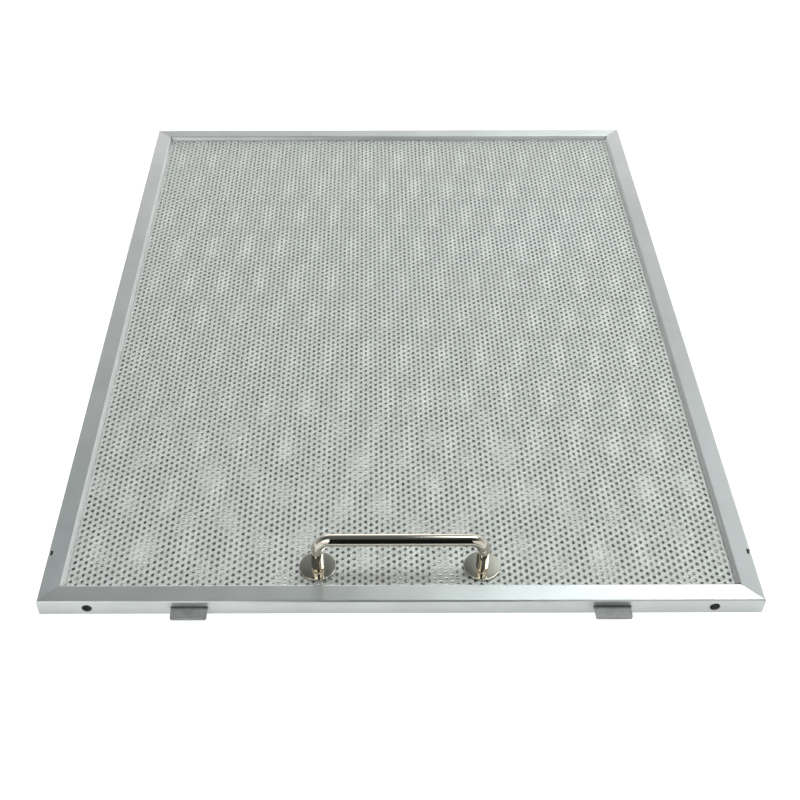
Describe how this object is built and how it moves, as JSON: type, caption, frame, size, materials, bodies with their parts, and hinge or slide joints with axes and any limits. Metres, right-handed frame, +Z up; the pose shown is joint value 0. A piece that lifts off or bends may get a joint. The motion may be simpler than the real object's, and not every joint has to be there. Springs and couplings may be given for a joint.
{
  "type": "cooker hood filter",
  "caption": "Flat rectangular grease filter for a cooker hood: expanded aluminium mesh in a mitred channel frame, with a bent wire handle and locating lugs at its front edge.",
  "frame": {"origin": "bottom centre of the whole outline, with the filter lying on its back face", "axes": "+X along the front rail to the right, +Y from the handle edge to the plain back edge, +Z up through the handle"},
  "size_m": [0.28, 0.3654, 0.0242],
  "materials": {
    "brushed_aluminium": "brushed",
    "plain_aluminium": "satin",
    "mesh_aluminium": "satin",
    "polished_nickel": "polished",
    "zinc_plated_steel": "satin"
  },
  "bodies": {
    "root": {"front_rail": "brushed_aluminium", "back_rail": "brushed_aluminium", "left_rail": "brushed_aluminium", "right_rail": "brushed_aluminium", "front_left_corner_key": "plain_aluminium", "front_right_corner_key": "plain_aluminium", "back_left_corner_key": "plain_aluminium", "back_right_corner_key": "plain_aluminium", "front_mesh": "mesh_aluminium", "upper_inner_mesh": "mesh_aluminium", "lower_inner_mesh": "mesh_aluminium", "back_mesh": "mesh_aluminium", "handle": "polished_nickel", "left_rose": "polished_nickel", "right_rose": "polished_nickel", "left_lug": "zinc_plated_steel", "right_lug": "zinc_plated_steel", "left_screw": "zinc_plated_steel", "right_screw": "zinc_plated_steel", "left_washer": "zinc_plated_steel", "right_washer": "zinc_plated_steel"}
  },
  "joints": []
}
